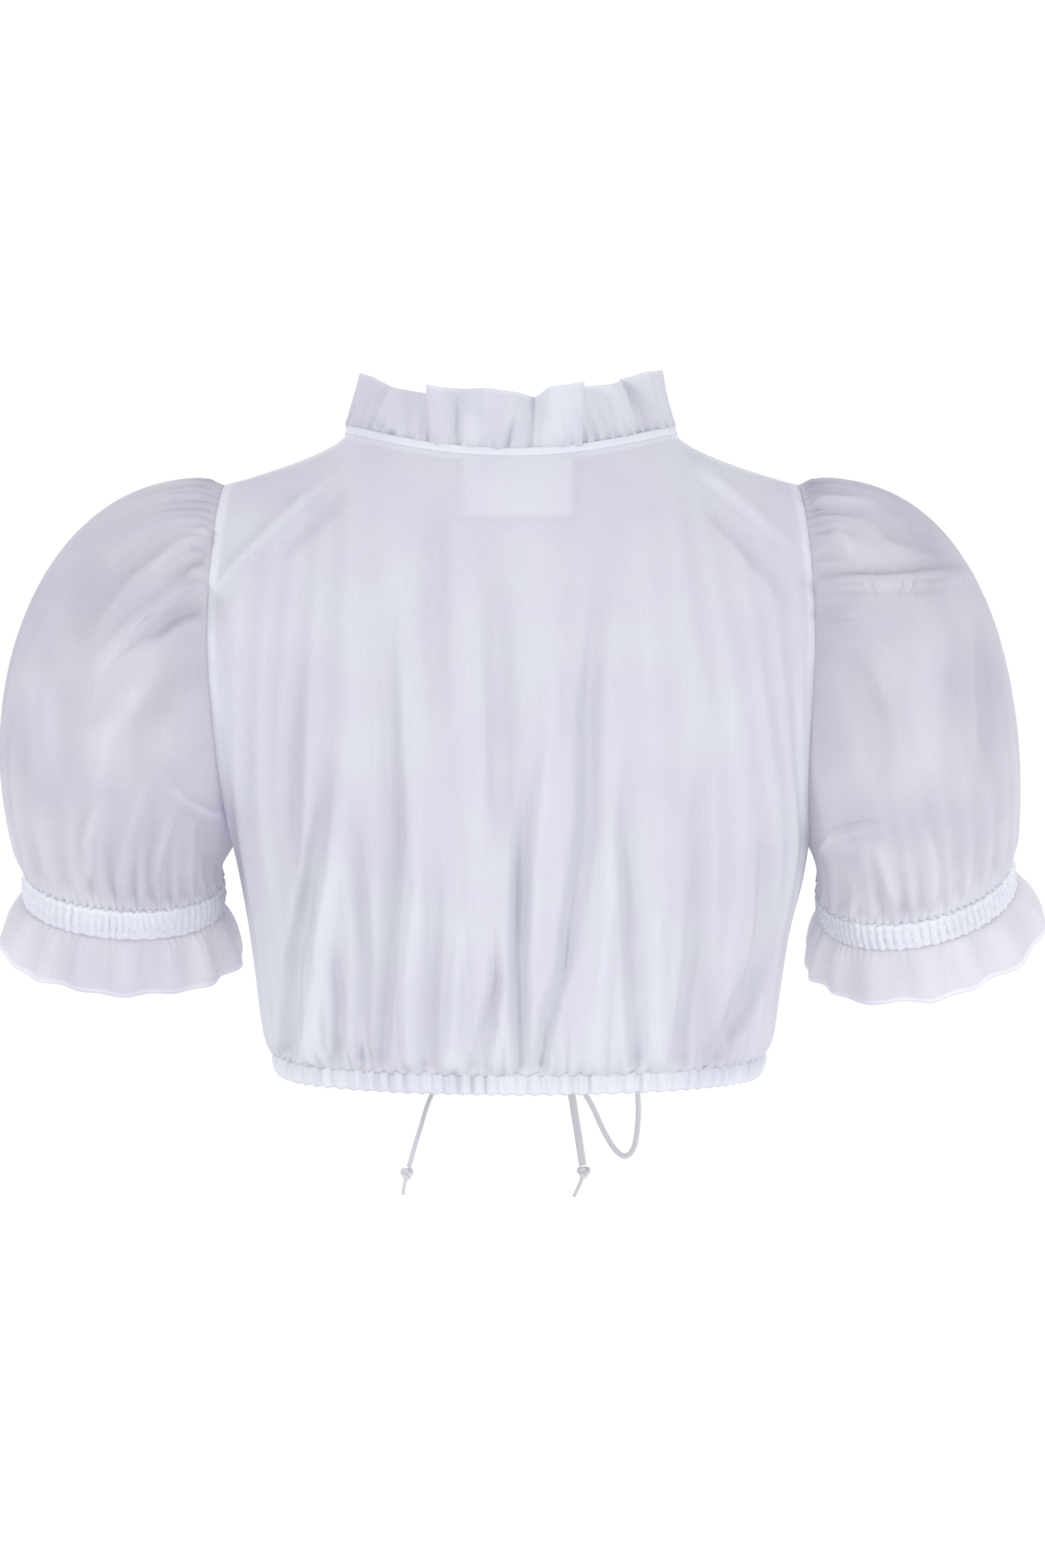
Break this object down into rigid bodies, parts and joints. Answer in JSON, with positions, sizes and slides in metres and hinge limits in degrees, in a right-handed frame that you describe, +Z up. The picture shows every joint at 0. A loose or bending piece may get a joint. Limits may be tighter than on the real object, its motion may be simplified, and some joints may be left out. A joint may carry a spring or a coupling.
{
  "type": "dirndl blouse",
  "caption": "Short white cotton blouse with puff sleeves, a low buttoned front, gathered frills at neck and cuffs, and a drawstring hem, worn under a dirndl bodice.",
  "frame": {"origin": "midway between the two neck points, where the shoulder seams meet the collar, which is where the wearer holds it up", "axes": "+X the wearer's right, +Y the wearer's front, +Z up; the picture looks along +Y at the back"},
  "size_m": [0.6594, 0.2499, 0.52],
  "materials": {
    "white_cotton": "fine plain weave, matte",
    "shirred_cotton": "doubled plain weave, gathered, matte",
    "sheer_cotton": "thin see-through plain weave, matte",
    "label_tape": "smooth bare tape",
    "drawstring_tape": "flat woven tape",
    "pearl_button": "pearl gloss"
  },
  "bodies": {
    "root": {"back_panel": "white_cotton", "front_right": "white_cotton", "front_left": "white_cotton", "front_placket": "white_cotton", "neck_frill": "white_cotton", "neck_binding": "shirred_cotton", "hem_casing": "shirred_cotton", "cuff_band_right": "shirred_cotton", "cuff_band_left": "shirred_cotton", "sleeve_right": "sheer_cotton", "sleeve_left": "sheer_cotton", "cuff_frill_right": "sheer_cotton", "cuff_frill_left": "sheer_cotton", "button_1": "pearl_button", "button_2": "pearl_button", "button_3": "pearl_button", "button_4": "pearl_button", "button_5": "pearl_button", "neck_label": "label_tape", "bow_knot": "drawstring_tape", "tie_left": "drawstring_tape", "tie_right": "drawstring_tape", "tie_loop": "drawstring_tape", "knot_left": "drawstring_tape", "knot_right": "drawstring_tape", "tail_left": "drawstring_tape", "tail_right": "drawstring_tape"}
  },
  "joints": []
}
